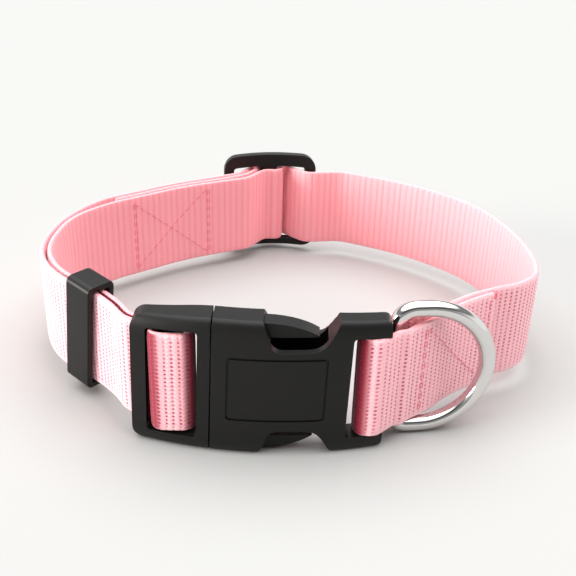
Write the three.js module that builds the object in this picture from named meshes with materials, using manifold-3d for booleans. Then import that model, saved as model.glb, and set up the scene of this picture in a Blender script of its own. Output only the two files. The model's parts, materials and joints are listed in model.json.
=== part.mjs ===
// Dog collar: one strap of 24 mm webbing closed by a curved side-release buckle, with a D-ring in a
// sewn pocket, a keeper loop and a curved slide adjuster. Millimetres, +Z up. The collar stands on its
// lower edge with the buckle at -Y and the adjuster at +Y; its origin is under the middle of its box.
import * as THREE from 'three';
import { mergeVertices } from 'three/addons/utils/BufferGeometryUtils.js';
import Module from 'manifold-3d';

const wasm = await Module();
wasm.setup();

// Driving dimensions of the collar and its webbing
const neckReach = 60;        // distance from the middle of the neck to the strap at the sides
const webWidth = 24;
const webThick = 1.4;
const layerGap = 0.45;       // between two layers of webbing that lie on each other
const barGap = 0.5;          // between webbing and a bar it wraps
const edgeGap = 1.1;         // between the edge of the webbing and the slot it runs in

// Driving dimensions of the buckle, measured along it from the middle of its front face
const buckleRail = 3.1;      // height of the rails over and under the webbing
const buckleBend = 80;       // radius of its curve round the neck
const bodyThick = 9;
const railThick = 5.4;
const shellWall = 1.9;
const plugEnd = -29;         // left end of the plug
const jointAt = -11.5;       // where plug and socket meet
const socketEnd = 26;        // right end of the socket
const jointGap = 0.3;
const crownIn = 2;           // how far the faces round off towards the top and bottom edges
const crownHigh = 4.6;
const slotCorner = 0.8;
const plugCorner = 5;
const plugStep = 1;          // the plug's back is this much thinner than the socket's at the joint
const plugSlotLeft = -25.6;
const plugSlotRight = -14.5;
const plugBarWide = 6.4;
const barThick = 2.6;
const endBarThick = 2.8;
const socketSlotLeft = 17.6;
const socketBarLeft = 20.7;
const socketBarWide = 3.5;
const barRound = 1.2;
const webProud = 0.5;        // the webbing on the socket's bar stands this far out of the front face
const buckleOut = 1.4;       // the buckle's middle plane lies this far outside the strap's line
const buckleTurn = -94.4;    // direction of the buckle's middle, seen from the middle of the neck

// Windows in the socket's edges and the finger pads of the plug that show in them
const windowLeft = -1.6;
const windowRight = 14;
const windowDeep = 6.6;
const windowLean = 2;        // how far the left side leans
const windowCorner = 2.6;
const windowFloor = 4.6;     // flat stretch of the window's floor
const windowRise = 2.4;      // how far before its right end the floor starts to rise
const cavityEnd = 14.6;
const panelWide = 20;
const panelHigh = 15.6;
const panelLeft = -7.5;
const grooveWide = 0.5;
const grooveDeep = 0.35;
const padGap = 0.5;          // between the plug's arms and the walls round them
const armHigh = 1.7;
const padEnd = 10.6;
const padLong = 6;           // the pad's top is nearly flat for this far
const padLeft = 1.3;         // from the window's left end to the pad's
const padLean = 1.3;
const padTop = 0.7;          // the pad's top lies this far inside the buckle's edge
const padNose = 2.9;         // height of the pad's end over the window's floor

// Driving dimensions of the D-ring
const wireRadius = 1.85;
const ringEdge = 0.85;       // half of its spare height over the webbing's
const ringUnder = 0.4;       // between the webbing's lower edge and the wire
const ringSide = 6.6;        // straight side between the bar and the bow
const ringCorner = 4;
const ringSetback = 5.2;     // from the socket's bar to the ring's bar, along the buckle
const ringBehind = 7.8;      // from the socket's front face back to the ring's bar
const ringAngle = 8;
const pocketGap = 1.15;
const seamTurn = -53.5;      // direction of the seam that closes the pocket
const tailTurn = -32;        // end of the sewn tail

// Driving dimensions of the keeper loop
const keeperTurn = 216.2;
const keeperWide = 8;
const keeperWall = 1.5;
const keeperCorner = 1.6;
const keeperInner = 0.4;     // radius of the corners inside
const keeperTilt = 7;
const keeperSlack = 1.4;     // its opening is this much higher than the webbing
const keeperLoose = 0.6;     // and leaves this much on each side of the two layers

// Driving dimensions of the slide adjuster
const slideTurn = 97.2;
const slideInside = 4.1;     // its bar lies this far inside neckReach
const slideAngle = 9;
const slideLong = 28;
const slideEdge = 0.9;       // between the edge of the webbing and the adjuster's rails
const slideSag = 0.4;        // it hangs this far below the middle of the webbing
const slideBend = 28;
const slideThick = 2.8;
const slideRail = 2.6;
const slideEndBar = 3.2;
const slideBarWide = 5;
const slideCorner = 4;
const sewnTurn = 157;        // end of the tail that is sewn on inside
const slideEase = 17;        // the layers close up over this turn past the adjuster and past that tail

// Line of the inner layer of webbing round the neck: share is its reach as a share of neckReach
const neckShape = [
  { turn: -125, share: 0.957 },
  { turn: -114, share: 0.925 },
  { turn: -90, share: 0.87 },
  { turn: -58, share: 0.89 },
  { turn: -45, share: 0.868 },
  { turn: -33, share: 0.915 },
  { turn: -25, share: 1.01 },
  { turn: -18, share: 1.054 },
  { turn: -8, share: 1.04 },
  { turn: 5, share: 1.012 },
  { turn: 25, share: 0.988 },
  { turn: 42, share: 0.945 },
  { turn: 60, share: 0.918 },
  { turn: 77, share: 0.91 },
  { turn: 104, share: 0.79 },
  { turn: 116, share: 0.762 },
  { turn: 130, share: 0.775 },
  { turn: 148, share: 0.825 },
  { turn: 160, share: 0.905 },
  { turn: 172, share: 0.98 },
  { turn: 182, share: 1.005 },
  { turn: 195, share: 1.02 },
  { turn: 208, share: 0.985 },
  { turn: 214, share: 0.948 },
  { turn: 220, share: 0.925 },
  { turn: 227, share: 0.925 },
];

const cutOver = 1;           // cuts run on this far past the faces that they open
const layer = webThick + layerGap;
const beside = barGap + webThick / 2;
const slotHigh = webWidth + 2 * edgeGap;
const buckleHeight = slotHigh + 2 * buckleRail;
const webBottom = buckleRail + edgeGap;
const webMiddle = webBottom + webWidth / 2;
const ringRadius = webWidth / 2 + ringEdge + wireRadius;
const ringMiddle = webBottom - ringUnder - wireRadius + ringRadius;
const slideHeight = webWidth + 2 * (slideEdge + slideRail);
const slideBottom = webMiddle - slideHeight / 2 - slideSag;
const radians = THREE.MathUtils.degToRad;
const degrees = THREE.MathUtils.radToDeg;
const vec = (x, y) => new THREE.Vector2(x, y);

// Materials
const webbing = new THREE.MeshStandardMaterial({ color: 0xf7a5b0, roughness: 0.85, metalness: 0 });
const plastic = new THREE.MeshStandardMaterial({ color: 0x232323, roughness: 0.5, metalness: 0 });
const chrome = new THREE.MeshStandardMaterial({ color: 0xd2d0ce, roughness: 0.12, metalness: 1 });

// Solids: joins and cuts on closed geometry
function solid(geometry) {
  const bare = geometry.clone();
  bare.deleteAttribute('normal');
  bare.deleteAttribute('uv');
  const merged = mergeVertices(bare, 1e-4);
  return new wasm.Manifold(new wasm.Mesh({
    numProp: 3,
    vertProperties: new Float32Array(merged.attributes.position.array),
    triVerts: new Uint32Array(merged.index.array),
  }));
}

function geometryOf(shape) {
  const mesh = shape.getMesh();
  const geometry = new THREE.BufferGeometry();
  geometry.setAttribute('position', new THREE.BufferAttribute(new Float32Array(mesh.vertProperties), 3));
  geometry.setIndex(new THREE.BufferAttribute(new Uint32Array(mesh.triVerts), 1));
  geometry.computeVertexNormals();
  return geometry;
}

// A plan outline raised from low to high
function upright(points, low, high) {
  const outline = new THREE.Shape(points);
  const geometry = new THREE.ExtrudeGeometry(outline, { depth: high - low, bevelEnabled: false });
  return solid(geometry.translate(0, 0, low));
}

// An outline seen from the front (x, z), pushed through in y from near to far
function through(shape, near, far) {
  const options = { depth: far - near, bevelEnabled: false, curveSegments: 6 };
  const geometry = new THREE.ExtrudeGeometry(shape, options);
  return solid(geometry.rotateX(Math.PI / 2).translate(0, far, 0));
}

function rectangle(left, right, low, high, corner) {
  const shape = new THREE.Shape();
  shape.moveTo(left + corner, low);
  shape.lineTo(right - corner, low);
  shape.absarc(right - corner, low + corner, corner, -Math.PI / 2, 0);
  shape.lineTo(right, high - corner);
  shape.absarc(right - corner, high - corner, corner, 0, Math.PI / 2);
  shape.lineTo(left + corner, high);
  shape.absarc(left + corner, high - corner, corner, Math.PI / 2, Math.PI);
  shape.lineTo(left, low + corner);
  shape.absarc(left + corner, low + corner, corner, Math.PI, 1.5 * Math.PI);
  return shape;
}

// Strap line: reach at a direction by a smooth curve through the rows of the table
function rowAt(index) {
  const count = neckShape.length;
  const lap = Math.floor(index / count);
  const row = neckShape[index - lap * count];
  return { turn: row.turn + 360 * lap, reach: row.share * neckReach };
}

function reachAt(turn) {
  let index = -2;
  while (rowAt(index + 1).turn <= turn) index += 1;
  const [before, here, next, after] = [-1, 0, 1, 2].map((step) => rowAt(index + step));
  const span = next.turn - here.turn;
  const slopeHere = (next.reach - before.reach) / (next.turn - before.turn);
  const slopeNext = (after.reach - here.reach) / (after.turn - here.turn);
  const t = (turn - here.turn) / span;
  const rise = t * t * (3 - 2 * t);
  return here.reach + (next.reach - here.reach) * rise
    + span * t * (1 - t) * (slopeHere * (1 - t) - slopeNext * t);
}

function linePoint(turn) {
  return vec(Math.cos(radians(turn)), Math.sin(radians(turn))).multiplyScalar(reachAt(turn));
}

function outwardAt(turn) {
  const along = linePoint(turn + 0.5).sub(linePoint(turn - 0.5)).normalize();
  return vec(along.y, -along.x);
}

function onStrap(turn, outside) {
  return linePoint(turn).addScaledVector(outwardAt(turn), outside);
}

function stretch(from, to, outside, step = 6) {
  const count = Math.max(1, Math.ceil(Math.abs(to - from) / step));
  return Array.from({ length: count + 1 }, (_, i) => {
    const turn = from + ((to - from) * i) / count;
    return onStrap(turn, typeof outside === 'function' ? outside(turn) : outside);
  });
}

// Buckle frame: x along the buckle, out towards the viewer from its middle plane
const buckleMiddle = linePoint(buckleTurn);
buckleMiddle.y -= buckleOut;

function buckleAt(x, out) {
  return vec(buckleMiddle.x + x, buckleMiddle.y - out);
}

function frontAt(x) {
  return bodyThick / 2 - (x * x) / (2 * buckleBend);
}

// Plan outline between two depths behind the front face
function band(from, to, near, far, count = 12) {
  const stations = Array.from({ length: count + 1 }, (_, i) => from + ((to - from) * i) / count);
  const depth = (value, x) => (typeof value === 'function' ? value(x) : value);
  const front = stations.map((x) => buckleAt(x, frontAt(x) - depth(near, x)));
  const back = stations.map((x) => buckleAt(x, frontAt(x) - depth(far, x)));
  return [...front, ...back.reverse()];
}

// The body of both halves: one section with crowned faces, swept along the curve of the buckle
function crowned(from, to) {
  const high = buckleHeight / 2;
  const deep = bodyThick / 2;
  const section = new THREE.Shape();
  section.moveTo(-high + crownHigh, -deep);
  section.lineTo(high - crownHigh, -deep);
  section.absellipse(high - crownHigh, -deep + crownIn, crownHigh, crownIn, -Math.PI / 2, 0);
  section.absellipse(high - crownHigh, deep - crownIn, crownHigh, crownIn, 0, Math.PI / 2);
  section.lineTo(-high + crownHigh, deep);
  section.absellipse(-high + crownHigh, deep - crownIn, crownHigh, crownIn, Math.PI / 2, Math.PI);
  section.absellipse(-high + crownHigh, -deep + crownIn, crownHigh, crownIn, Math.PI, 1.5 * Math.PI);
  const count = 14;
  const route = Array.from({ length: count + 1 }, (_, i) => {
    const x = from + ((to - from) * i) / count;
    const point = buckleAt(x, frontAt(x) - deep);
    return new THREE.Vector3(point.x, point.y, buckleCentre);
  });
  const extrudePath = new THREE.CatmullRomCurve3(route);
  return solid(new THREE.ExtrudeGeometry(section, { steps: count, extrudePath, curveSegments: 5 }));
}

const buckleLow = 0;
const buckleHigh = buckleHeight;
const buckleCentre = buckleHeight / 2;
const slotLow = webMiddle - slotHigh / 2;
const slotTop = webMiddle + slotHigh / 2;
const nearSide = buckleMiddle.y - 3 * bodyThick;
const farSide = buckleMiddle.y + 3 * bodyThick;

function frontRectangle(left, right, low, high, corner) {
  return rectangle(buckleMiddle.x + left, buckleMiddle.x + right, low, high, corner);
}

function barSolid(left, wide, middleOut) {
  const centre = buckleAt(left + wide / 2, middleOut);
  const outline = rectangle(centre.x - wide / 2, centre.x + wide / 2, centre.y - barThick / 2,
    centre.y + barThick / 2, barRound);
  return upright(outline.getPoints(4), slotLow - cutOver, slotTop + cutOver);
}

// Smooth step from one thickness to another along the buckle
function taper(x, from, to, first, last) {
  const t = THREE.MathUtils.smoothstep(x, from, to);
  return first + (last - first) * t;
}

// Bars that the webbing wraps, set so that the webbing comes out level with the front faces
const plugBarMiddle = (plugSlotLeft + plugSlotRight) / 2;
const plugBarOut = frontAt(plugBarMiddle) - webThick - barGap - barThick / 2;
const socketBarMiddle = socketBarLeft + socketBarWide / 2;
const socketBarOut = frontAt(socketBarMiddle) + webProud - webThick - barGap - barThick / 2;

// Buckle plug: ladder frame that holds the strap, with two sprung arms that reach into the socket
function buckleArm(side) {
  const root = jointAt - cutOver;
  const edge = buckleHeight / 2;
  const cavity = edge - shellWall - padGap;
  const padLow = cavity - armHigh;
  const left = windowLeft + padLeft;
  const shape = new THREE.Shape();
  const at = (x, high) => [buckleMiddle.x + x, buckleCentre + side * high];
  shape.moveTo(...at(root, padLow));
  shape.lineTo(...at(padEnd, padLow));
  shape.lineTo(...at(padEnd, edge - windowDeep + padNose));
  shape.bezierCurveTo(...at(padEnd - padNose, edge - padNose), ...at(left + padLong, edge - padTop),
    ...at(left + padLean, edge - padTop));
  shape.lineTo(...at(left, cavity));
  shape.lineTo(...at(root, cavity));
  shape.closePath();
  return through(shape, nearSide, farSide);
}

function buckle_plug() {
  const right = jointAt - jointGap;
  const thick = (x) => taper(x, plugSlotLeft, right, railThick, bodyThick - plugStep);
  const body = crowned(plugEnd - cutOver, right + cutOver)
    .intersect(upright(band(plugEnd, right, -cutOver, thick), buckleLow - cutOver, buckleHigh + cutOver));
  const outline = frontRectangle(plugEnd, right + plugCorner, buckleLow, buckleHigh, plugCorner);
  const slot = through(frontRectangle(plugSlotLeft, plugSlotRight, slotLow, slotTop, slotCorner),
    nearSide, farSide);
  const relief = upright(band(plugEnd - cutOver, plugSlotLeft + cutOver, endBarThick, 2 * bodyThick, 4),
    slotLow, slotTop);
  const inset = shellWall + padGap;
  const inside = upright(band(right - cutOver, cavityEnd - padGap, inset, bodyThick - inset),
    buckleLow, buckleHigh);
  const arms = buckleArm(1).add(buckleArm(-1)).intersect(inside);
  return body.intersect(through(outline, nearSide, farSide))
    .subtract(slot).subtract(relief)
    .add(barSolid(plugBarMiddle - plugBarWide / 2, plugBarWide, plugBarOut))
    .add(arms);
}

// Buckle socket: hollow body with a window in its top and bottom edges and a bar for the strap
function windowCut(side) {
  const edge = buckleHeight / 2;
  const shape = new THREE.Shape();
  const at = (x, high) => [buckleMiddle.x + x, buckleCentre + side * high];
  const floor = edge - windowDeep;
  const corner = windowLeft + windowLean;
  shape.moveTo(...at(windowLeft, edge + cutOver));
  shape.lineTo(...at(corner, floor + windowCorner));
  shape.quadraticCurveTo(...at(corner, floor), ...at(corner + windowCorner, floor));
  shape.lineTo(...at(corner + windowCorner + windowFloor, floor));
  shape.quadraticCurveTo(...at(windowRight - windowRise, floor), ...at(windowRight, edge + cutOver));
  shape.closePath();
  return through(shape, nearSide, farSide);
}

function buckle_socket() {
  const thick = (x) => taper(x, cavityEnd - cutOver, socketSlotLeft + cutOver, bodyThick, railThick);
  const body = crowned(jointAt - cutOver, socketEnd + cutOver)
    .intersect(upright(band(jointAt, socketEnd, -cutOver, thick, 20),
      buckleLow - cutOver, buckleHigh + cutOver));
  const cavity = upright(band(jointAt - cutOver, cavityEnd, shellWall, bodyThick - shellWall),
    buckleLow + shellWall, buckleHigh - shellWall);
  const slot = through(frontRectangle(socketSlotLeft, socketEnd + slotCorner + cutOver, slotLow, slotTop,
    slotCorner), nearSide, farSide);
  const panelLow = buckleCentre - panelHigh / 2;
  const panelTop = buckleCentre + panelHigh / 2;
  const panel = through(frontRectangle(panelLeft, panelLeft + panelWide, panelLow, panelTop, slotCorner),
    nearSide, farSide);
  const raised = through(frontRectangle(panelLeft + grooveWide, panelLeft + panelWide - grooveWide,
    panelLow + grooveWide, panelTop - grooveWide, slotCorner), nearSide, farSide);
  const groove = panel.subtract(raised)
    .intersect(upright(band(panelLeft, panelLeft + panelWide, -cutOver, grooveDeep), panelLow, panelTop));
  return body.subtract(cavity).subtract(slot).subtract(windowCut(1)).subtract(windowCut(-1))
    .subtract(groove)
    .add(barSolid(socketBarLeft, socketBarWide, socketBarOut));
}

// D-ring: round wire bent to a D, its straight bar upright in the strap's pocket
const ringBar = buckleAt(socketBarMiddle + ringSetback, frontAt(socketBarMiddle) - ringBehind);

function dRing() {
  const flat = ringRadius - ringCorner;
  const corner = (side) => [0.5, 1].map((t) => {
    const a = (Math.PI / 2) * t;
    return new THREE.Vector3(ringCorner * (1 - Math.cos(a)), 0, side * (flat + ringCorner * Math.sin(a)));
  });
  const steps = 14;
  const bow = Array.from({ length: steps + 1 }, (_, i) => {
    const a = Math.PI / 2 - (Math.PI * i) / steps;
    return new THREE.Vector3(ringSide + ringRadius * Math.cos(a), 0, ringRadius * Math.sin(a));
  });
  const bar = [-1, -0.5, 0, 0.5, 1].map((t) => new THREE.Vector3(0, 0, t * flat));
  const path = new THREE.CatmullRomCurve3([...bar, ...corner(1), ...bow, ...corner(-1).reverse()], true);
  return new THREE.TubeGeometry(path, 72, wireRadius, 12, true);
}

// Keeper loop: moulded rectangle round both layers of the strap
function keeper_loop() {
  const deepIn = layer + webThick + 2 * keeperLoose;
  const highIn = webWidth + keeperSlack;
  const outline = rectangle(-deepIn / 2 - keeperWall, deepIn / 2 + keeperWall,
    -highIn / 2 - keeperWall, highIn / 2 + keeperWall, keeperCorner);
  outline.holes.push(rectangle(-deepIn / 2, deepIn / 2, -highIn / 2, highIn / 2, keeperInner));
  const options = { depth: keeperWide, bevelEnabled: false, curveSegments: 5 };
  const geometry = new THREE.ExtrudeGeometry(outline, options);
  return geometry.translate(0, 0, -keeperWide / 2);
}

function keeperPlace(mesh) {
  const centre = onStrap(keeperTurn, layer / 2);
  const out = outwardAt(keeperTurn);
  const outward = new THREE.Vector3(out.x, out.y, 0);
  const up = new THREE.Vector3(0, 0, 1).applyAxisAngle(outward, radians(-keeperTilt));
  const along = new THREE.Vector3().crossVectors(outward, up);
  mesh.quaternion.setFromRotationMatrix(new THREE.Matrix4().makeBasis(outward, up, along));
  mesh.position.set(centre.x, centre.y, webMiddle);
}

// Slide adjuster frame: x along the strap, out away from the neck
const slideMiddle = vec(Math.cos(radians(slideTurn)), Math.sin(radians(slideTurn)))
  .multiplyScalar(neckReach - slideInside);

function slideAt(x, out) {
  return vec(x, out).rotateAround(vec(0, 0), radians(slideAngle)).add(slideMiddle);
}

function slideDrop(x) {
  return -(x * x) / (2 * slideBend);
}

function slide_adjuster() {
  const half = slideLong / 2;
  const count = 10;
  const stations = Array.from({ length: count + 1 }, (_, i) => -half + (slideLong * i) / count);
  const inner = stations.map((x) => vec(x, slideDrop(x) - slideThick / 2));
  const outer = stations.map((x) => vec(x, slideDrop(x) + slideThick / 2)).reverse();
  const body = upright([...inner, ...outer], slideBottom, slideBottom + slideHeight);
  const low = slideBottom + slideRail;
  const top = slideBottom + slideHeight - slideRail;
  const deep = slideLong;
  const face = rectangle(-half, half, slideBottom, slideBottom + slideHeight, slideCorner);
  const hole = rectangle(-half + slideEndBar, half - slideEndBar, low, top, slotCorner);
  const bar = rectangle(-slideBarWide / 2, slideBarWide / 2, -slideThick / 2, slideThick / 2, barRound);
  const framed = body.intersect(through(face, -deep, deep)).subtract(through(hole, -deep, deep))
    .add(upright(bar.getPoints(4), low - cutOver, top + cutOver));
  return geometryOf(framed);
}

// Strap: one ribbon from the sewn tail at the ring, round the neck and back to the adjuster
function wrap(place, bar, gap) {
  const far = barRound + gap + webThick / 2;
  const step = 20;
  const count = Math.ceil(Math.abs(bar.to - bar.from) / step);
  return Array.from({ length: count + 1 }, (_, i) => {
    const a = radians(bar.from + ((bar.to - bar.from) * i) / count);
    const across = Math.sign(Math.cos(a)) * (bar.wide / 2 - barRound) + far * Math.cos(a);
    const deep = Math.sign(Math.sin(a)) * (bar.thick / 2 - barRound) + far * Math.sin(a);
    return place(bar.x + across, bar.out + deep);
  });
}

// Bars that the ribbon wraps, and the directions in which it meets and leaves them: 0 is to the right along
// the strap, 90 is outwards
const plugBar = {
  x: plugBarMiddle, out: plugBarOut, wide: plugBarWide, thick: barThick, from: 176, to: -84,
};
const socketBar = {
  x: socketBarMiddle, out: socketBarOut, wide: socketBarWide, thick: barThick, from: 72, to: 262,
};
const slideBar = { x: 0, out: 0, wide: slideBarWide, thick: slideThick, from: -104, to: 172 };
const slideOver = { ...slideBar, from: 20, to: 160 };

// The pocket passes on both sides of the ring's bar, between the socket's bar and the seam
function pocketPoints(side) {
  const pocket = wireRadius + pocketGap + webThick / 2;
  const spread = 30;
  const seam = onStrap(seamTurn, layer / 2);
  const across = buckleAt(socketBar.x, socketBar.out).sub(seam).normalize();
  const out = vec(-across.y, across.x).multiplyScalar(side);
  return [spread, 0, -spread].map((a) => {
    const direction = out.clone().rotateAround(vec(0, 0), radians(a));
    return ringBar.clone().addScaledVector(direction, pocket);
  });
}

function strapPath() {
  const turnOf = (point) => (degrees(Math.atan2(point.y, point.x)) + 360) % 360;
  const endTurn = turnOf(buckleAt(plugEnd, 0)) - 4;
  const cornerOut = frontAt(plugSlotLeft) - endBarThick;
  const slotMiddle = (plugSlotLeft + plugBar.x - plugBar.wide / 2) / 2;
  const slideEnd = slideLong / 2 - slideEndBar / 2;
  const slideInner = slideLong / 2 - slideEndBar;
  const slideUnder = (x) => slideDrop(x) - slideThick / 2 - beside - webThick / 2;
  const slideLeft = slideAt(-slideEnd, slideUnder(slideEnd));
  const slideRight = slideAt(slideEnd, slideUnder(slideEnd));
  const leftTurn = turnOf(slideLeft);
  const lift = (turn) => {
    const start = slideLeft.clone().sub(linePoint(leftTurn)).dot(outwardAt(leftTurn));
    const three = THREE.MathUtils.smoothstep(turn, leftTurn, leftTurn + slideEase);
    const two = THREE.MathUtils.smoothstep(turn, sewnTurn, sewnTurn + slideEase);
    const lifted = start + (2 * layer + layerGap - start) * three;
    return lifted + (layer - lifted) * two;
  };
  const middleLift = (turn) => Math.max(layer, lift(turn) / 2);
  return [
    ...stretch(tailTurn, seamTurn, layer, 5),
    ...pocketPoints(1),
    ...wrap(buckleAt, socketBar, barGap),
    ...pocketPoints(-1),
    ...stretch(seamTurn, turnOf(slideRight) - 10, 0),
    slideRight,
    slideAt(slideInner, slideUnder(slideInner)),
    ...wrap(slideAt, slideOver, barGap + layer),
    slideAt(-slideInner, slideUnder(slideInner)),
    slideLeft,
    ...stretch(leftTurn + 7, endTurn, lift),
    buckleAt(plugSlotLeft - beside / 2, cornerOut - beside - layerGap / 3),
    buckleAt(plugSlotLeft + 0.74 * beside, cornerOut - 0.78 * beside),
    buckleAt(slotMiddle, cornerOut),
    ...wrap(buckleAt, plugBar, barGap),
    buckleAt(slotMiddle, cornerOut - beside - layer),
    ...stretch(endTurn, leftTurn - 4, 0),
    ...wrap(slideAt, slideBar, barGap),
    slideAt(-slideInner + 2.5, slideUnder(slideInner) - layerGap),
    ...stretch(leftTurn + 4, sewnTurn, middleLift),
  ];
}

// Keep only the points that the turns of the ribbon need
function thinned(points, most = 4, longest = 6) {
  const kept = [points[0]];
  let turned = 0;
  for (let i = 1; i < points.length - 1; i += 1) {
    const before = points[i].clone().sub(points[i - 1]);
    const after = points[i + 1].clone().sub(points[i]);
    turned += Math.abs(degrees(Math.atan2(before.cross(after), before.dot(after))));
    if (turned > most || points[i].distanceTo(kept[kept.length - 1]) > longest) {
      kept.push(points[i]);
      turned = 0;
    }
  }
  return [...kept, points[points.length - 1]];
}

function strap() {
  const route = new THREE.CatmullRomCurve3(strapPath().map((p) => new THREE.Vector3(p.x, p.y, 0)), false);
  const spacing = 0.5;
  const fine = route.getSpacedPoints(Math.round(route.getLength() / spacing)).map((p) => vec(p.x, p.y));
  const middle = thinned(fine);
  const side = (sign) => middle.map((point, i) => {
    const next = middle[Math.min(i + 1, middle.length - 1)];
    const last = middle[Math.max(i - 1, 0)];
    const along = next.clone().sub(last).normalize();
    return point.clone().add(vec(-along.y, along.x).multiplyScalar((sign * webThick) / 2));
  });
  const outline = new THREE.Shape([...side(1), ...side(-1).reverse()]);
  const geometry = new THREE.ExtrudeGeometry(outline, { depth: webWidth, bevelEnabled: false });
  return geometry.translate(0, 0, webBottom);
}

// Assembly
const collar = new THREE.Group();

function addPiece(name, geometry, material) {
  const mesh = new THREE.Mesh(geometry, material);
  mesh.name = name;
  collar.add(mesh);
  return mesh;
}

addPiece('strap', strap(), webbing);
addPiece('buckle_plug', geometryOf(buckle_plug()), plastic);
addPiece('buckle_socket', geometryOf(buckle_socket()), plastic);
const ring = addPiece('d_ring', dRing(), chrome);
ring.rotation.z = radians(ringAngle);
ring.position.set(ringBar.x, ringBar.y, ringMiddle);
keeperPlace(addPiece('keeper_loop', keeper_loop(), plastic));
const slide = addPiece('slide_adjuster', slide_adjuster(), plastic);
slide.rotation.z = radians(slideAngle);
slide.position.set(slideMiddle.x, slideMiddle.y, 0);

// Origin under the middle of the collar's box
collar.updateMatrixWorld(true);
const box = new THREE.Box3().setFromObject(collar, true);
collar.position.set(-(box.min.x + box.max.x) / 2, -(box.min.y + box.max.y) / 2, -box.min.z);

export default collar;
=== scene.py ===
import json
import math
import random

import bmesh
import bpy
import numpy as np
from mathutils import Matrix, Vector


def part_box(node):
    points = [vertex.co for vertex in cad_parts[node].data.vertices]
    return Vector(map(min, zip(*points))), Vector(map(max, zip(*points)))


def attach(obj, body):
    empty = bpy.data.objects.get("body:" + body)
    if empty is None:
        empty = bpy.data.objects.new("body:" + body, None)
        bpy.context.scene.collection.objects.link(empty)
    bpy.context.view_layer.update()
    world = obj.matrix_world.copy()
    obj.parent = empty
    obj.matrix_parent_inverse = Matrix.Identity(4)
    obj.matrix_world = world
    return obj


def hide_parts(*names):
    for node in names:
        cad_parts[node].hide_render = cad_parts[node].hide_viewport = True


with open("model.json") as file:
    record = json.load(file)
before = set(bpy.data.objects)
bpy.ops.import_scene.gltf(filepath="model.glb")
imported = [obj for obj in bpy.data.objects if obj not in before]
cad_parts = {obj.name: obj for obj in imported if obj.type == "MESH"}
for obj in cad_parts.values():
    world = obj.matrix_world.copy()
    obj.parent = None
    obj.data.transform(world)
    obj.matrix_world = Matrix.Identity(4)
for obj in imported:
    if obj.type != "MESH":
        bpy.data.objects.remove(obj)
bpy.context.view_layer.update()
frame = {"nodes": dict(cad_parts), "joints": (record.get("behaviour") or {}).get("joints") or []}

# Studio: a plain white floor under one large soft light, in a white tent that is open on the camera's
# side, with a wide low light from the left. The camera looks down on the collar's front at the
# photograph's angle. All lengths below are in millimetres, and become metres where they meet Blender.
mm = 0.001
camera_place = Vector((0.22, -206.3, 113.5)) * mm
camera_tilt = math.radians(63.7)
camera_roll = math.radians(1.8)
picture_side = 576
focal_pixels = 840
camera_data = bpy.data.cameras.new("camera")
camera_data.sensor_width = 36
camera_data.lens = focal_pixels * camera_data.sensor_width / picture_side
camera_data.clip_start = 10 * mm
camera = bpy.data.objects.new("camera", camera_data)
bpy.context.scene.collection.objects.link(camera)
camera.matrix_world = (Matrix.Translation(camera_place) @ Matrix.Rotation(camera_tilt, 4, "X")
                       @ Matrix.Rotation(camera_roll, 4, "Z"))
bpy.context.scene.camera = camera
bpy.context.scene.view_settings.view_transform = "Standard"


def finish(name, **values):
    """A new material with these values on its shader's own sockets, its node tree and its shader."""
    material = bpy.data.materials.new(name)
    material.use_nodes = True
    shader = material.node_tree.nodes["Principled BSDF"]
    for socket, value in values.items():
        shader.inputs[socket.replace("_", " ")].default_value = value
    return material, material.node_tree, shader


def piece(name, shape, material):
    """A new object from a finished bmesh, which is used up."""
    mesh = bpy.data.meshes.new(name)
    shape.to_mesh(mesh)
    shape.free()
    thing = bpy.data.objects.new(name, mesh)
    bpy.context.scene.collection.objects.link(thing)
    if material:
        mesh.materials.append(material)
    return thing


floor_side = 6000
floor_white = (0.375, 0.374, 0.368, 1)
paper = finish("white_paper", Base_Color=floor_white, Roughness=1.0, Specular_IOR_Level=0.0)[0]
floor_shape = bmesh.new()
bmesh.ops.create_grid(floor_shape, x_segments=2, y_segments=2, size=floor_side * mm / 2)
floor = piece("floor", floor_shape, paper)

# Each edge below is two cosines, between which the light goes from its first strength to its second.
upward = (0, 0, 1)
softbox_edge = (0.6, 0.78)
softbox_strengths = (0.0, 4.1)
wall_edge = (0.28, 0.42)
wall_strengths = (1.1, 0.3)
open_side = Vector((0.1, -0.95, 0.25)).normalized()
opening_edge = (0.5, 0.85)
opening_strengths = (1.0, 0.35)
sky = bpy.data.worlds.new("sky")
bpy.context.scene.world = sky
sky.use_nodes = True
backdrop = sky.node_tree.nodes["Background"]
backdrop.inputs["Color"].default_value = (1, 1, 1, 1)


def by_direction(direction, start, end, low, high):
    """Light that goes from low to high as a view of the sky turns towards a direction."""
    toward = sky.node_tree.nodes.new("ShaderNodeTexCoord")
    dot = sky.node_tree.nodes.new("ShaderNodeVectorMath")
    dot.operation = "DOT_PRODUCT"
    dot.inputs[1].default_value = direction
    span = sky.node_tree.nodes.new("ShaderNodeMapRange")
    span.interpolation_type = "SMOOTHSTEP"
    sky.node_tree.links.new(toward.outputs["Generated"], dot.inputs[0])
    sky.node_tree.links.new(dot.outputs["Value"], span.inputs["Value"])
    for socket, number in (("From Min", start), ("From Max", end), ("To Min", low), ("To Max", high)):
        span.inputs[socket].default_value = number
    return span.outputs["Result"]


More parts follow.
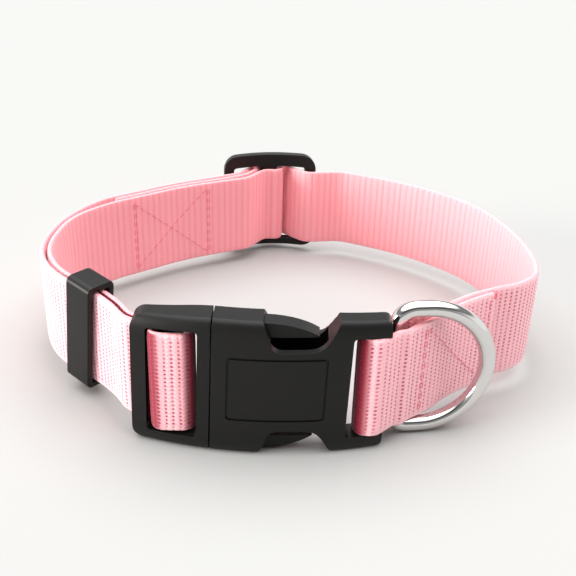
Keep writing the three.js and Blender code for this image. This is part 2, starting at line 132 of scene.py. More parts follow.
overhead = by_direction(upward, *softbox_edge, *softbox_strengths)
walls = by_direction(upward, *wall_edge, *wall_strengths)
tent = sky.node_tree.nodes.new("ShaderNodeMath")
sky.node_tree.links.new(overhead, tent.inputs[0])
sky.node_tree.links.new(walls, tent.inputs[1])
opened = sky.node_tree.nodes.new("ShaderNodeMath")
opened.operation = "MULTIPLY"
sky.node_tree.links.new(tent.outputs["Value"], opened.inputs[0])
openness = by_direction(open_side, *opening_edge, *opening_strengths)
sky.node_tree.links.new(openness, opened.inputs[1])
sky.node_tree.links.new(opened.outputs["Value"], backdrop.inputs["Strength"])

side_light = bpy.data.lights.new("side_light", "SUN")
side_light.energy = 5.0
side_light.angle = math.radians(28)
side_light.color = (1.0, 0.975, 0.91)
side_lamp = bpy.data.objects.new("side_light", side_light)
bpy.context.scene.collection.objects.link(side_lamp)
side_beam = Vector((0.93, 0.32, -0.12))
side_lamp.rotation_euler = side_beam.to_track_quat("-Z", "Y").to_euler()

# Webbing: one strap of woven polyester, 24 mm wide, from the sewn tail at the ring, round the socket's
# bar, the neck, the adjuster and the plug's bar, and back to its own sewn end under the adjuster.
# Its outer face has rows of small holes between the yarns, and its inner face has plain ribs across.
web_wide = 24.0
web_thick = 1.4
hole_pitch = 1.5
hole_rows = 25
row_pitch = web_wide / hole_rows
hole_size = (0.29, 0.21)
rib_pitch = 2.0
chevron_rise = 0.9
strand_share = 0.4
rib_strand_share = 0.15
waver_scale = 0.35
waver_far = 0.3
open_hole_scale = 0.12
selvedge_wide = (1.3, 0.8)
rim_wide = (0.35, 0.1)
weave_relief = 0.12
steps_per_hole = 5
furrow_depth = 0.06
selvedge_squareness = 0.28
curve_steps = 24


def top_loop(node):
    """The corners of a node's top face in order round its edge, in millimetres."""
    shape = bmesh.new()
    shape.from_mesh(frame["nodes"][node].data)
    bmesh.ops.remove_doubles(shape, verts=shape.verts, dist=1e-6)
    top = max(v.co.z for v in shape.verts) - 1e-5
    rim = {}
    for edge in shape.edges:
        a, b = edge.verts
        flat = [face for face in edge.link_faces if min(v.co.z for v in face.verts) > top]
        if len(flat) == 1 and min(a.co.z, b.co.z) > top:
            rim.setdefault(a.index, []).append(b.index)
            rim.setdefault(b.index, []).append(a.index)
    shape.verts.ensure_lookup_table()
    walk = [min(rim)]
    last = None
    while True:
        onward = [i for i in rim[walk[-1]] if i != last]
        last = walk[-1]
        if onward[0] == walk[0]:
            break
        walk.append(onward[0])
    loop = np.array([shape.verts[i].co.xy[:] for i in walk]) / mm
    shape.free()
    return loop


def middle_line(loop):
    """The line midway between the two long sides of a ribbon's outline."""
    count = len(loop) // 2
    best = None
    for start in range(2 * count):
        turned = np.roll(loop, -start, axis=0)
        left, right = turned[:count], turned[:count - 1:-1]
        spread = np.linalg.norm(left - right, axis=1).sum()
        if best is None or spread < best[0]:
            best = (spread, (left + right) / 2)
    return best[1]


def smooth_line(points, spacing):
    """A smooth curve through the points, at even steps of about that length."""
    around = np.vstack([2 * points[0] - points[1], points, 2 * points[-1] - points[-2]])
    knots = np.concatenate([[0], np.cumsum(np.linalg.norm(np.diff(around, axis=0), axis=1) ** 0.5)])
    fine = []
    for i in range(1, len(around) - 2):
        p, k = around[i - 1:i + 3], knots[i - 1:i + 3]
        t = np.linspace(k[1], k[2], curve_steps, endpoint=False)[:, None]
        a = [(k[j + 1] - t) / (k[j + 1] - k[j]) * p[j] + (t - k[j]) / (k[j + 1] - k[j]) * p[j + 1]
             for j in range(3)]
        b = [(k[j + 2] - t) / (k[j + 2] - k[j]) * a[j] + (t - k[j]) / (k[j + 2] - k[j]) * a[j + 1]
             for j in range(2)]
        fine.append((k[2] - t) / (k[2] - k[1]) * b[0] + (t - k[1]) / (k[2] - k[1]) * b[1])
    fine = np.vstack([*fine, points[-1:]])
    run = np.concatenate([[0], np.cumsum(np.linalg.norm(np.diff(fine, axis=0), axis=1))])
    count = round(run[-1] / spacing)
    even = np.linspace(0, run[-1], count + 1)
    return np.column_stack([np.interp(even, run, fine[:, i]) for i in (0, 1)]), run[-1]


strap_line, strap_long = smooth_line(middle_line(top_loop("strap")), hole_pitch / steps_per_hole)
if strap_line[0][1] > 0:
    strap_line = strap_line[::-1].copy()
strap_step = strap_long / (len(strap_line) - 1)
ahead = np.gradient(strap_line, axis=0)
ahead /= np.linalg.norm(ahead, axis=1)[:, None]
strap_side = np.column_stack([-ahead[:, 1], ahead[:, 0]])
strap_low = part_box("strap")[0].z / mm


def on_strap(along, across, out):
    """The point this far along the strap, up its width, and out from its middle plane."""
    station = min(max(along / strap_step, 0), len(strap_line) - 1.001)
    i = int(station)
    share = station - i
    middle = strap_line[i] * (1 - share) + strap_line[i + 1] * share
    side = strap_side[i] * (1 - share) + strap_side[i + 1] * share
    place = middle + side * out
    return Vector((place[0], place[1], strap_low + across)) * mm


def woven(name, outer, inner, hole, rim, painted_shade):
    """Webbing: each face's furrow and yarn colours, then those of its holes and edges, and a painted shade
    where it turns round bars and lies against another layer.
    """
    material, tree, shader = finish(name, Roughness=0.7, Sheen_Weight=0.3, Sheen_Roughness=0.4,
                                    Specular_IOR_Level=0.3)
    new, link = tree.nodes.new, tree.links.new

    def work(operation, *inputs):
        node = new("ShaderNodeMath")
        node.operation = operation
        for socket, value in zip(node.inputs, inputs):
            if isinstance(value, (int, float)):
                socket.default_value = value
            else:
                link(value, socket)
        return node.outputs[0]

    def fade(value, start, end, low=0.0, high=1.0):
        node = new("ShaderNodeMapRange")
        node.interpolation_type = "SMOOTHSTEP"
        link(value, node.inputs["Value"])
        for socket, number in (("From Min", start), ("From Max", end), ("To Min", low), ("To Max", high)):
            node.inputs[socket].default_value = number
        return node.outputs["Result"]

    def blend(share, first, second):
        node = new("ShaderNodeMix")
        node.data_type = "RGBA"
        link(share, node.inputs["Factor"])
        for socket, value in (("A", first), ("B", second)):
            target = [s for s in node.inputs if s.name == socket and s.type == "RGBA"][0]
            if isinstance(value, tuple):
                target.default_value = value
            else:
                link(value, target)
        return [s for s in node.outputs if s.type == "RGBA"][0]

    def cloud(scale):
        node = new("ShaderNodeTexNoise")
        node.inputs["Scale"].default_value = scale
        node.inputs["Detail"].default_value = 2
        link(place.outputs["UV"], node.inputs["Vector"])
        return node.outputs["Fac"]

    place = new("ShaderNodeUVMap")
    place.uv_map = "weave"
    parts = new("ShaderNodeSeparateXYZ")
    link(place.outputs["UV"], parts.inputs[0])
    facing = new("ShaderNodeAttribute")
    facing.attribute_name = "inside"
    inside = fade(facing.outputs["Fac"], 0.4, 0.6)
    along = work("MULTIPLY_ADD", work("SUBTRACT", cloud(waver_scale), 0.5), waver_far, parts.outputs[0])
    across = parts.outputs[1]
    edge = work("ABSOLUTE", work("SUBTRACT", work("PINGPONG", across, web_wide), web_wide / 2))
    selvedge = fade(edge, web_wide / 2 - selvedge_wide[0], web_wide / 2 - selvedge_wide[1])
    rim_share = fade(edge, web_wide / 2 - rim_wide[0], web_wide / 2 - rim_wide[1])

    def wave(value, pitch):
        """1 between the marks that lie a pitch apart, 0 on them."""
        return work("ABSOLUTE", work("SINE", work("MULTIPLY", value, math.pi / pitch)))

    column, row = wave(along, hole_pitch), wave(across, row_pitch)
    wide = work("POWER", work("MULTIPLY", column, hole_pitch / (math.pi * hole_size[0])), 2)
    high = work("POWER", work("MULTIPLY", row, row_pitch / (math.pi * hole_size[1])), 2)
    how_open = fade(cloud(open_hole_scale), 0.35, 0.6, 0.5, 1.0)
    dots = work("MULTIPLY", fade(work("ADD", wide, high), 1.4, 0.3), how_open)
    chevron = work("MULTIPLY_ADD", work("PINGPONG", along, hole_pitch), chevron_rise / hole_pitch,
                   work("DIVIDE", across, row_pitch))
    strand = work("MULTIPLY_ADD", work("SINE", work("MULTIPLY", chevron, 2 * math.pi)), 0.5, 0.5)
    rows = work("MULTIPLY", work("POWER", column, 0.6), 1 - strand_share)
    body = work("MULTIPLY_ADD", strand, strand_share, rows)
    outer_face = blend(work("MAXIMUM", body, selvedge), *outer)
    outer_face = blend(work("MULTIPLY", dots, work("SUBTRACT", 1.0, selvedge)), outer_face, hole)
    rib = work("POWER", wave(along, rib_pitch), 0.7)
    ribbed = work("MULTIPLY_ADD", strand, rib_strand_share, work("MULTIPLY", rib, 1 - rib_strand_share))
    inner_face = blend(ribbed, *inner)
    # Painted shade: a deep red mixed over both faces where the strap turns round a bar or lies against
    # another layer.
    painted_shade_mask = new("ShaderNodeAttribute")
    painted_shade_mask.attribute_name = "painted_shade"
    both_faces = blend(painted_shade_mask.outputs["Fac"], blend(inside, outer_face, inner_face), painted_shade)
    link(blend(rim_share, both_faces, rim), shader.inputs["Base Color"])
    outer_high = work("SUBTRACT", body, work("MULTIPLY", dots, 0.8))
    inner_high = work("MULTIPLY_ADD", strand, 0.2, rib)
    swap = new("ShaderNodeMix")
    link(inside, swap.inputs["Factor"])
    link(outer_high, swap.inputs["A"])
    link(inner_high, swap.inputs["B"])
    bump = new("ShaderNodeBump")
    bump.inputs["Strength"].default_value = 0.8
    bump.inputs["Distance"].default_value = weave_relief * mm
    link(swap.outputs["Result"], bump.inputs["Height"])
    link(bump.outputs["Normal"], shader.inputs["Normal"])
    return material


outer_pinks = ((0.94, 0.385, 0.445, 1), (0.98, 0.54, 0.59, 1))
inner_pinks = ((0.94, 0.3, 0.34, 1), (0.96, 0.41, 0.45, 1))
hole_pink = (0.42, 0.03, 0.07, 1)
rim_pink = (0.92, 0.36, 0.39, 1)
# Painted shade: the deep red that stands for the shadow in the turns round the bars and between layers.
painted_shade_pink = (0.27, 0.012, 0.034, 1)
webbing = woven("pink_webbing", outer_pinks, inner_pinks, hole_pink, rim_pink, painted_shade_pink)

# Painted shade on the strap, as places along it: start, full, full until, and end. A turn round a
# bar has painted shade on both its faces, and a layer only on the face that the last number gives, 1 for the
# inside.
painted_shade_turns = ((38.1, 40.2, 43.5, 46), (366, 369, 375.6, 377.6), (380.6, 383.2, 386, 388.5))
painted_shade_layers = ((325, 342, 366, 368, 1), (396, 399, 416, 433, 0))


def painted_shade_share(along, inside):
    """How dark a face is painted with shade: in the turns round the bars, and against another layer."""
    share = 0
    for start, full, full_until, end, *side in (*painted_shade_turns, *painted_shade_layers):
        rise = min(max((along - start) / (full - start), 0), 1)
        fall = min(max((end - along) / (end - full_until), 0), 1)
        nearer = min(rise, fall)
        if not side or side[0] == (inside > 0.5):
            share = max(share, nearer ** 2 * (3 - 2 * nearer))
    return share


def squared(wave):
    """A sine or cosine made squarer, which turns a round section into the webbing's flat one."""
    return math.copysign(abs(wave) ** selvedge_squareness, wave)


steps_round = 28
ribbon = bmesh.new()
bmesh.ops.create_grid(ribbon, x_segments=len(strap_line) - 1, y_segments=steps_round, size=0.5)
weave_map = ribbon.loops.layers.uv.new("weave")
inside_layer = ribbon.verts.layers.float.new("inside")
painted_shade_layer = ribbon.verts.layers.float.new("painted_shade")
for face in ribbon.faces:
    for corner in face.loops:
        along, around = corner.vert.co.x + 0.5, corner.vert.co.y + 0.5
        up = web_wide * (0.5 - squared(math.cos(2 * math.pi * around)) / 2)
        corner[weave_map].uv = (along * strap_long, up if around < 0.5 else 2 * web_wide - up)
for vert in ribbon.verts:
    station = round((vert.co.x + 0.5) * (len(strap_line) - 1))
    turn = 2 * math.pi * (vert.co.y + 0.5)
    up = web_wide * (0.5 - squared(math.cos(turn)) / 2)
    face_out = squared(math.sin(turn))
    furrow = 1 - abs(math.sin(math.pi * station / steps_per_hole))
    out = face_out * (web_thick / 2 - furrow_depth * furrow)
    toward_neck = -np.dot(strap_side[station], strap_line[station]) / np.linalg.norm(strap_line[station])
    vert[inside_layer] = 0.5 + 0.5 * toward_neck * math.copysign(1, face_out)
    # Painted shade: how dark each point of the strap is painted in the turns round the bars and against
    # another layer.
    vert[painted_shade_layer] = painted_shade_share(station * strap_step, vert[inside_layer])
    vert.co = on_strap(station * strap_step, up, out)
bmesh.ops.remove_doubles(ribbon, verts=ribbon.verts, dist=1e-7)
bmesh.ops.holes_fill(ribbon, edges=[e for e in ribbon.edges if e.is_boundary], sides=0)
bmesh.ops.recalc_face_normals(ribbon, faces=ribbon.faces)
for face in ribbon.faces:
    face.smooth = True
strap = piece("webbing_strap", ribbon, webbing)
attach(strap, "root")
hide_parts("strap")

# Stitches: thick thread in the webbing's own pink, a shade redder, that closes the ring's pocket with a
# double row, sews the tail down with a boxed cross, and sews the hidden end down the same way inside.
# The cut end of the tail is melted into a small hard ridge so that it can't fray.
thread_thick = 0.28
thread_long = 2.1
thread_space = 0.45
thread_red = (0.84, 0.2, 0.26, 1)
melted_red = (0.85, 0.13, 0.17, 1)
thread = finish("red_thread", Base_Color=thread_red, Roughness=0.6, Sheen_Weight=0.2)[0]
melted = finish("melted_end", Base_Color=melted_red, Roughness=0.35)[0]


def sew(shape, start, end, side):
    """One row of stitches between two places (along, across) on the strap's left (1) or right (-1) face."""
    run = Vector(end) - Vector(start)
    count = max(1, round(run.length / (thread_long + thread_space)))
    pitch = 1 / count
    reach = run * pitch * thread_long / (thread_long + thread_space) / 2
    out = side * web_thick / 2
    for i in range(count):
        middle = Vector(start).lerp(Vector(end), (i + 0.5) * pitch)
        first = on_strap(*(middle - reach), out)
        last = on_strap(*(middle + reach), out)
        centre = on_strap(*middle, out)
        turn = (last - first).to_track_quat("X", "Z").to_matrix().to_4x4()
        size = Matrix.Diagonal(((last - first).length / 2, thread_thick * mm / 2, thread_thick * mm / 2, 1))
        bmesh.ops.create_uvsphere(shape, u_segments=8, v_segments=6, radius=1,
                                  matrix=Matrix.Translation(centre) @ turn @ size)


seams = bmesh.new()
tail_seam = 23.5
tail_end_seam = 1.8
tail_rows = (0, 0.9)
inner_box = (485.5, 510.3)
inner_rows = (0, 0.7)
seam_margin = 1.6
top = web_wide - seam_margin
for shift in tail_rows:
    sew(seams, (tail_seam + shift, seam_margin), (tail_seam + shift, top), 1)
sew(seams, (tail_end_seam, seam_margin), (tail_end_seam, top), 1)
sew(seams, (tail_seam, top), (tail_end_seam, seam_margin), 1)
for along in inner_box:
    for shift in inner_rows:
        sew(seams, (along + shift, seam_margin), (along + shift, top), -1)
sew(seams, (inner_box[0], seam_margin), (inner_box[1], top), -1)
sew(seams, (inner_box[0], top), (inner_box[1], seam_margin), -1)
for face in seams.faces:
    face.smooth = True
stitches = piece("sewn_thread", seams, thread)
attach(stitches, "root")

lumps = 34
lump_size = (0.5, 0.75, 0.6)
lump_place = 0.1
lump_wander = 0.05
corner_lumps = 2
corner_growth = 1.5
dice = random.Random(4)
ridge = bmesh.new()
for i in range(lumps):
    across = web_wide * (i + 0.5) / lumps
    thickness = dice.uniform(0.75, 1.0)
    spot = on_strap(lump_place, across, dice.uniform(-lump_wander, lump_wander))
    growth = corner_growth if i >= lumps - corner_lumps else 1.0
    size = Matrix.Diagonal((lump_size[0] * growth * mm, lump_size[1] * growth * thickness * mm,
                            lump_size[2] * mm, 1))
    bmesh.ops.create_uvsphere(ridge, u_segments=8, v_segments=6, radius=1,
                              matrix=Matrix.Translation(spot) @ size)
for face in ridge.faces:
    face.smooth = True
cut_end = piece("melted_tail_end", ridge, melted)
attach(cut_end, "root")

# Buckle plug: moulded acetal, matte black. A ladder frame that the strap is threaded through, curved
# round the neck, with two sprung arms inside the socket whose finger pads show in its windows.
# It is modelled flat, in millimetres, x along it, y back from its front face, z up, and then bent.
buckle_high = 32.4
body_thick = 9.0
rail_thick = 5.4
bend_radius = 80.0
crown_in = 2.0
crown_high = 4.6
joint_at = -11.5
joint_gap = 0.3
plug_end = -29.0
plug_corner = 3.4
plug_step = 1.0
plug_taper = 0.036
buckle_lean = 0.028
plug_slot = (-25.6, -14.5)
slot_low = 3.5
slot_over = 2.8
slot_top = buckle_high - slot_over
slot_corner = 0.8
plug_bar_wide = 6.4
end_bar_thick = 2.8
bar_thick = 2.6
bar_deep = 1.9
bar_corner = 1.2
edge_round = 0.45
socket_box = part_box("buckle_socket")
socket_end = 26.0
buckle_x = socket_box[1].x / mm - socket_end
buckle_front = socket_box[0].y / mm
bend_step = 1.2
crease = math.radians(32)
plastic_black = (0.0055, 0.0052, 0.005, 1)
plastic_roughness = (0.34, 0.46)
grain_scale = 4200
grain_relief = 0.05
gloss_scale = 160
# A cutting block reaches this far past what it cuts.
past = 1.0


def moulded(name, black):
    """Black plastic with the fine grain of a spark-eroded mould."""
    material, tree, shader = finish(name, Base_Color=black, Specular_IOR_Level=0.22)
    new, link = tree.nodes.new, tree.links.new
    place = new("ShaderNodeTexCoord")
    grain = new("ShaderNodeTexNoise")
    grain.inputs["Scale"].default_value = grain_scale
    grain.inputs["Detail"].default_value = 3
    link(place.outputs["Object"], grain.inputs["Vector"])
    cloud = new("ShaderNodeTexNoise")
    cloud.inputs["Scale"].default_value = gloss_scale
    link(place.outputs["Object"], cloud.inputs["Vector"])
    gloss = new("ShaderNodeMapRange")
    gloss.inputs["To Min"].default_value = plastic_roughness[0]
    gloss.inputs["To Max"].default_value = plastic_roughness[1]
    link(cloud.outputs["Fac"], gloss.inputs["Value"])
    link(gloss.outputs["Result"], shader.inputs["Roughness"])
    bump = new("ShaderNodeBump")
    bump.inputs["Strength"].default_value = 0.35
    bump.inputs["Distance"].default_value = grain_relief * mm
    link(grain.outputs["Fac"], bump.inputs["Height"])
    link(bump.outputs["Normal"], shader.inputs["Normal"])
    return material


black_plastic = moulded("black_plastic", plastic_black)


def block(low, high, corner=0.0, axis=1, segments=6):
    """A box between two corners, its edges along one axis (0, 1, 2 for x, y, z) rounded."""
    shape = bmesh.new()
    bmesh.ops.create_cube(shape, size=1)
    bmesh.ops.scale(shape, vec=Vector(high) - Vector(low), verts=shape.verts)
    bmesh.ops.translate(shape, vec=(Vector(high) + Vector(low)) / 2, verts=shape.verts)
    if corner:
        along = [e for e in shape.edges if abs((e.verts[0].co - e.verts[1].co)[axis]) > 1e-6]
        bmesh.ops.bevel(shape, geom=along, offset=corner, offset_type="OFFSET", segments=segments,
                        profile=0.5, affect="EDGES", clamp_overlap=True, material=-1)
    return piece("block", shape, None)


def slab(outline, axis, low, high):
    """An outline pushed through along y (given as x, z) or along z (given as x, y)."""
    shape = bmesh.new()
    if axis == 1:
        corners = [shape.verts.new((x, low, z)) for x, z in outline]
    else:
        corners = [shape.verts.new((x, y, low)) for x, y in outline]
    base = shape.faces.new(corners)
    grown = bmesh.ops.extrude_face_region(shape, geom=[base])["geom"]
    push = Vector((0, high - low, 0)) if axis == 1 else Vector((0, 0, high - low))
    bmesh.ops.translate(shape, vec=push, verts=[g for g in grown if isinstance(g, bmesh.types.BMVert)])
    bmesh.ops.recalc_face_normals(shape, faces=shape.faces)
    return piece("slab", shape, None)


def combine(thing, tool, operation):
    """Joins one object with another, or cuts it, and the other is used up."""
    change = thing.modifiers.new("combine", "BOOLEAN")
    change.operation = operation
    change.solver = "EXACT"
    change.object = tool
    result = bpy.data.meshes.new_from_object(thing.evaluated_get(bpy.context.evaluated_depsgraph_get()))
    thing.modifiers.clear()
    thing.data = result
    bpy.data.objects.remove(tool)


def crowned(left, right):
    """The body of both halves, with its faces rounded off towards the top and bottom edges."""
    squeeze = crown_in / crown_high
    thing = block((left, 0, 0), (right, body_thick, buckle_high * squeeze), crown_in, 0, 8)
    thing.data.transform(Matrix.Diagonal((1, 1, 1 / squeeze, 1)))
    return thing


def soften(thing, width, segments=3, sharp=35):
    """Rounds every sharp edge a little, as a mould does."""
    shape = bmesh.new()
    shape.from_mesh(thing.data)
    bmesh.ops.remove_doubles(shape, verts=shape.verts, dist=1e-4)
    bmesh.ops.dissolve_limit(shape, angle_limit=math.radians(0.5), verts=shape.verts, edges=shape.edges)
    edges = [e for e in shape.edges if e.is_manifold and e.calc_face_angle(0) > math.radians(sharp)]
    bmesh.ops.bevel(shape, geom=edges, offset=width, offset_type="OFFSET", segments=segments, profile=0.5,
                    affect="EDGES", clamp_overlap=True, material=-1)
    shape.to_mesh(thing.data)
    shape.free()
    return thing


def bent(thing, name, radius, spacing, place):
    """Curves a flat model round a radius along x, and sets it in its place, in metres."""
    shape = bmesh.new()
    shape.from_mesh(thing.data)
    bpy.data.objects.remove(thing)
    low, high = min(v.co.x for v in shape.verts), max(v.co.x for v in shape.verts)
    count = round((high - low) / spacing)
    for i in range(1, count):
        cut = Vector((low + (high - low) * i / count, 0, 0))
        everything = [*shape.verts, *shape.edges, *shape.faces]
        bmesh.ops.bisect_plane(shape, geom=everything, dist=1e-5, plane_co=cut, plane_no=(1, 0, 0))
    for vert in shape.verts:
        vert.co.y += vert.co.x ** 2 / (2 * radius)
    bmesh.ops.transform(shape, matrix=place @ Matrix.Scale(mm, 4), verts=shape.verts)
    bmesh.ops.recalc_face_normals(shape, faces=shape.faces)
    for face in shape.faces:
        face.smooth = True
    new = piece(name, shape, black_plastic)
    new.data.set_sharp_from_angle(angle=crease)
    even = new.modifiers.new("even_normals", "WEIGHTED_NORMAL")
    even.keep_sharp = True
    return new


def curve_points(start, pull_start, pull_end, end, count=8):
    """Points along a curve from start to end, without its two ends."""
    spots = []
    for i in range(1, count):
        t = i / count
        spots.append(tuple((1 - t) ** 3 * a + 3 * t * (1 - t) ** 2 * b + 3 * t * t * (1 - t) * c + t ** 3 * d
                           for a, b, c, d in zip(start, pull_start, pull_end, end)))
    return spots


window_left = -1.6
window_right = 14.0
window_deep = 6.6
window_lean = 2.0
window_corner = 2.6
window_pull = 0.45
window_floor = 3.0
window_rise = 2.4
window_slant = 1.2
shell_wall = 1.9
cavity_end = 12.4
pad_gap = 0.5
arm_high = 1.7
arm_round = 0.3
pad_inset = 0.7
pad_left = window_left + pad_inset
pad_end = 10.6
pad_long = 6.0
pad_lean = -0.3
pad_top = 0.7
pad_nose = 3.9
pad_round = (1.8, 1.2)


def sprung_arm(side):
    """One arm of the plug with its finger pad, at the top (1) or the bottom (-1)."""
    half = buckle_high / 2
    inside = half - shell_wall - pad_gap
    pad_low = inside - arm_high
    nose = (pad_end, half - pad_nose)
    crest = (pad_left + pad_lean, half - pad_top)
    outline = [(joint_at - past, pad_low), (pad_end, pad_low), nose]
    outline += curve_points(nose, (pad_end - pad_round[0], half - pad_nose + pad_round[1]),
                            (pad_left + pad_long, half - pad_top), crest)
    outline += [crest, (pad_left, inside), (joint_at - past, inside)]
    inset = shell_wall + pad_gap
    arm = slab([(x, half + side * z) for x, z in outline], 1, inset, body_thick - inset)
    return soften(arm, arm_round, 3, 30)


plug_right = joint_at - joint_gap
plug_body = crowned(plug_end, plug_right)
combine(plug_body, block((plug_end, -past, 0),
                         (plug_right + plug_corner * 2, body_thick + past, buckle_high),
                         plug_corner, 1, 8), "INTERSECT")
back_cut = [(plug_end - past, rail_thick), (plug_slot[0], rail_thick),
            (plug_right + past, body_thick - plug_step), (plug_right + past, body_thick * 2),
            (plug_end - past, body_thick * 2)]
combine(plug_body, slab(back_cut, 2, -past, buckle_high + past), "DIFFERENCE")
combine(plug_body, block((plug_slot[0], -past, slot_low), (plug_slot[1], body_thick + past, slot_top),
                         slot_corner, 1, 3), "DIFFERENCE")
combine(plug_body, block((plug_end - past, end_bar_thick, slot_low),
                         (plug_slot[0] + past, body_thick * 2, slot_top)), "DIFFERENCE")
soften(plug_body, edge_round)
for vert in plug_body.data.vertices:
    vert.co.z *= 1 - plug_taper * max(0, plug_right - vert.co.x) / (plug_right - plug_end)
plug_middle = sum(plug_slot) / 2
combine(plug_body, block((plug_middle - plug_bar_wide / 2, bar_deep, slot_low - past),
                         (plug_middle + plug_bar_wide / 2, bar_deep + bar_thick, slot_top + past),
                         bar_corner, 2), "UNION")
for side in (1, -1):
    combine(plug_body, sprung_arm(side), "UNION")
buckle_foot = Vector((buckle_x - buckle_lean * buckle_high / 2, buckle_front, 0)) * mm
buckle_place = Matrix.Translation(buckle_foot) @ Matrix.Shear("XY", 4, (buckle_lean, 0))
plug = bent(plug_body, "plug_frame", bend_radius, bend_step, buckle_place)
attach(plug, "root")
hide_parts("buckle_plug")

# Buckle socket: the other half, moulded in the same black plastic, hollow, with a window in its top and
# bottom edges for the finger pads, a bar at its right end that the strap is sewn round, and a bare
# panel marked off by a fine groove on its front.
socket_slot = 17.6
socket_slot_low = 4.1
socket_slot_top = 28.9
shell_taper = (11.0, 14.4)
end_slant = 0.45
end_taper = 0.028
socket_bar = (20.7, 3.5)
web_proud = 0.5
panel_low = (-8.3, 9.1)
panel_size = (21.0, 15.4)
groove_wide = 0.5
groove_deep = 0.35
socket_corner = 1.6


def window(side):
    """The opening over (1) or under (-1) the socket that a finger reaches through."""
    half = buckle_high / 2
    base = half - window_deep
    foot = window_left + window_lean
    flat_end = foot + window_corner + window_floor
    open_left, open_right = (window_left, half + past), (window_right, half + past)
    pull = (window_right - window_rise, base)
    side_end, floor_start = (foot, base + window_corner), (foot + window_corner, base)
    outline = [open_left, side_end]
    outline += curve_points(side_end, (foot, base + window_corner * window_pull),
                            (foot + window_corner * window_pull, base), floor_start, 6)
    outline += [floor_start, (flat_end, base)]
    outline += curve_points(outline[-1], pull, pull, open_right, 10)
    outline += [open_right]
    cutter = slab([(x, half + side * z) for x, z in outline], 1, -past, body_thick * 2)
    for vert in cutter.data.vertices:
        rise = (side * (vert.co.z - half) - base) / window_deep
        if vert.co.x > flat_end and vert.co.y < 0:
            vert.co.x += window_slant * rise
    return cutter


socket_body = crowned(joint_at, socket_end)
combine(socket_body, block((joint_at - 4 * socket_corner, -past, 0),
                           (socket_end, body_thick * 2, buckle_high), socket_corner, 1, 6), "INTERSECT")
taper_cut = [(shell_taper[0], body_thick), (shell_taper[1], rail_thick), (socket_end + past, rail_thick),
             (socket_end + past, body_thick * 2), (shell_taper[0], body_thick * 2)]
combine(socket_body, slab(taper_cut, 2, -past, buckle_high + past), "DIFFERENCE")
combine(socket_body, block((joint_at - past, shell_wall, shell_wall),
                           (cavity_end, body_thick - shell_wall, buckle_high - shell_wall)), "DIFFERENCE")
combine(socket_body, block((socket_slot, -past, socket_slot_low),
                           (socket_end + 2 * past, body_thick * 2, socket_slot_top), slot_corner, 1, 3),
        "DIFFERENCE")
for side in (1, -1):
    combine(socket_body, window(side), "DIFFERENCE")
soften(socket_body, edge_round)
for vert in socket_body.data.vertices:
    if vert.co.x > sum(socket_bar):
        vert.co.x -= end_slant * vert.co.z / buckle_high
    vert.co.z *= 1 - end_taper * max(0, vert.co.x - shell_taper[1]) / (socket_end - shell_taper[1])
bar_front = bar_deep - web_proud
combine(socket_body, block((socket_bar[0], bar_front, slot_low - past),
                           (sum(socket_bar), bar_front + bar_thick, slot_top + past),
                           bar_corner, 2), "UNION")
panel_high = Vector((panel_low[0] + panel_size[0], 0, panel_low[1] + panel_size[1]))
groove = block((panel_low[0], -past, panel_low[1]), (panel_high.x, groove_deep, panel_high.z),
               slot_corner, 1, 4)
combine(groove, block((panel_low[0] + groove_wide, -2 * past, panel_low[1] + groove_wide),
                      (panel_high.x - groove_wide, 2 * past, panel_high.z - groove_wide),
                      slot_corner / 2, 1, 4), "DIFFERENCE")
combine(socket_body, groove, "DIFFERENCE")
socket = bent(socket_body, "socket_shell", bend_radius, bend_step, buckle_place)
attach(socket, "root")
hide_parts("buckle_socket")

# Keeper: a narrow moulded loop in the same black plastic that slides on both layers of the strap and
# holds them together. It leans a little, as it was pushed along.
keeper_wide = 8.0
keeper_wall = 1.5
keeper_hole = (4.45, 24.8)
keeper_rise = 0.5
keeper_corner = 1.6
keeper_hole_corner = 0.4
keeper_round = 0.4
nearly_flat = 1e6


def axes_of(node):
    """A node's middle, and the directions that its flat faces point in, largest first."""
    low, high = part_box(node)
    spread = np.zeros((3, 3))
    for face in frame["nodes"][node].data.polygons:
        spread += face.area * np.outer(face.normal, face.normal)
    return (low + high) / 2, np.linalg.eigh(spread)[1].T[::-1]


keeper_middle, keeper_axes = axes_of("keeper_loop")
out = Vector(keeper_axes[0])
out *= math.copysign(1, out.dot(keeper_middle))
up = min((Vector(a) for a in keeper_axes[1:]), key=lambda a: 1 - abs(a.z))
up *= math.copysign(1, up.z)
deep, high = keeper_hole[0] / 2 + keeper_wall, keeper_hole[1] / 2 + keeper_wall
half = keeper_wide / 2
loop = block((-half, -deep, -high), (half, deep, high), keeper_corner, 0, 6)
combine(loop, block((-half - past, -keeper_hole[0] / 2, -keeper_hole[1] / 2),
                    (half + past, keeper_hole[0] / 2, keeper_hole[1] / 2),
                    keeper_hole_corner, 0, 3), "DIFFERENCE")
soften(loop, keeper_round, 3, 50)
turn = Matrix((-out.cross(up), -out, up)).transposed().to_4x4()
lift = Vector((0, 0, keeper_rise)) * mm
keeper_place = Matrix.Translation(keeper_middle + lift) @ turn
keeper = bent(loop, "keeper_band", nearly_flat, keeper_wide, keeper_place)
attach(keeper, "root")
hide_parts("keeper_loop")

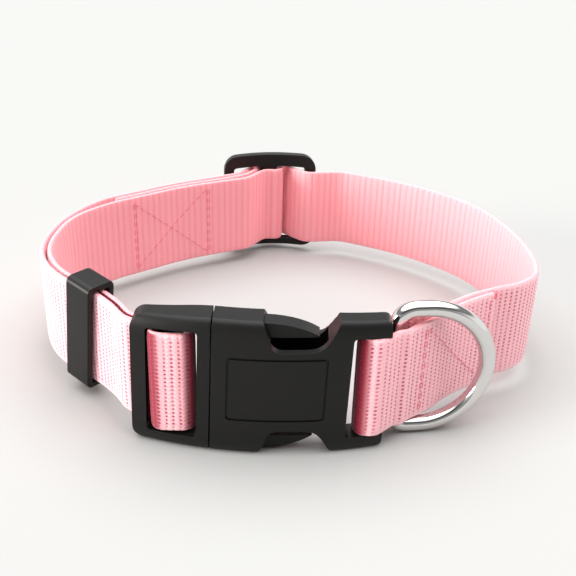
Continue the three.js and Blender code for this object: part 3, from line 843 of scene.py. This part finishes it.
# Adjuster: a moulded three-bar slide in the same black plastic, bowed outwards, that the strap is
# threaded over and its hidden end is sewn round. Its outer corners are well rounded.
slide_middle = (-7.3, 54.1)
slide_turn = math.radians(9)
slide_long = 29.2
slide_rise = 1.5
slide_low, slide_top = (corner.z / mm + slide_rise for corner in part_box("slide_adjuster"))
slide_thick = 2.8
slide_bend = 28.0
slide_bend_step = 0.8
slide_rails = (2.3, 4.0)
slide_end_bar = 3.2
slide_bar = 5.0
slide_corner = 4.0
slide_round = 0.8
plate = block((-slide_long / 2, -slide_thick / 2, slide_low), (slide_long / 2, slide_thick / 2, slide_top),
              slide_corner, 1, 8)
for side in (1, -1):
    near, far = sorted((side * slide_bar / 2, side * (slide_long / 2 - slide_end_bar)))
    combine(plate, block((near, -slide_thick, slide_low + slide_rails[0]),
                         (far, slide_thick, slide_top - slide_rails[1]), slot_corner, 1, 3), "DIFFERENCE")
soften(plate, slide_round, 4)
slide_foot = Vector((slide_middle[0], slide_middle[1], 0)) * mm
slide_place = Matrix.Translation(slide_foot) @ Matrix.Rotation(slide_turn, 4, "Z")
slide = bent(plate, "adjuster_slide", -slide_bend, slide_bend_step, slide_place)
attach(slide, "root")
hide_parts("slide_adjuster")

# Leash ring: round steel wire bent to a D, welded and polished, with bright chrome plating. Its straight
# bar stands upright in the strap's sewn pocket, and it swings on that bar.
wire_radius = 1.85
ring_bow = 14.7
ring_straight = 6.6
ring_bend = 4.0
ring_turn = math.radians(8)
wire_sides = 28
bow_steps = 56
bend_steps = 14
ring_joint = frame["joints"][0]
chrome_grey = (0.68, 0.67, 0.655, 1)
chrome = finish("polished_chrome", Base_Color=chrome_grey, Metallic=1.0, Roughness=0.05)[0]
wire = bmesh.new()
start = Matrix.Translation((ring_straight, 0, ring_bow)) @ Matrix.Rotation(math.pi / 2, 4, "Y")
bmesh.ops.create_circle(wire, cap_ends=False, segments=wire_sides, radius=wire_radius, matrix=start)
section = list(wire.edges)


def turned(edges, centre, angle, steps):
    """Bends the wire on round a centre, and returns its new end."""
    new = bmesh.ops.spin(wire, geom=edges, cent=centre, axis=(0, 1, 0), dvec=(0, 0, 0), angle=angle,
                         steps=steps, use_merge=False, use_duplicate=False)["geom_last"]
    return [g for g in new if isinstance(g, bmesh.types.BMEdge)]


def straight(edges, run):
    """Runs the wire on in a straight line, and returns its new end."""
    grown = bmesh.ops.extrude_edge_only(wire, edges=edges)["geom"]
    ends = [g for g in grown if isinstance(g, bmesh.types.BMVert)]
    bmesh.ops.translate(wire, vec=run, verts=ends)
    return [g for g in grown if isinstance(g, bmesh.types.BMEdge) and set(g.verts) <= set(ends)]


flat = ring_bow - ring_bend
section = turned(section, (ring_straight, 0, 0), math.pi, bow_steps)
section = straight(section, (ring_bend - ring_straight, 0, 0))
section = turned(section, (ring_bend, 0, -flat), math.pi / 2, bend_steps)
section = straight(section, (0, 0, 2 * flat))
section = turned(section, (ring_bend, 0, flat), math.pi / 2, bend_steps)
straight(section, (ring_straight - ring_bend, 0, 0))
bmesh.ops.remove_doubles(wire, verts=wire.verts, dist=1e-3)
ring_place = Matrix.Translation(Vector(ring_joint["pos_m"])) @ Matrix.Rotation(ring_turn, 4, "Z")
bmesh.ops.transform(wire, matrix=ring_place @ Matrix.Scale(mm, 4), verts=wire.verts)
bmesh.ops.recalc_face_normals(wire, faces=wire.faces)
for face in wire.faces:
    face.smooth = True
ring = piece("leash_ring", wire, chrome)
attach(ring, "ring")
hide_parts("d_ring")
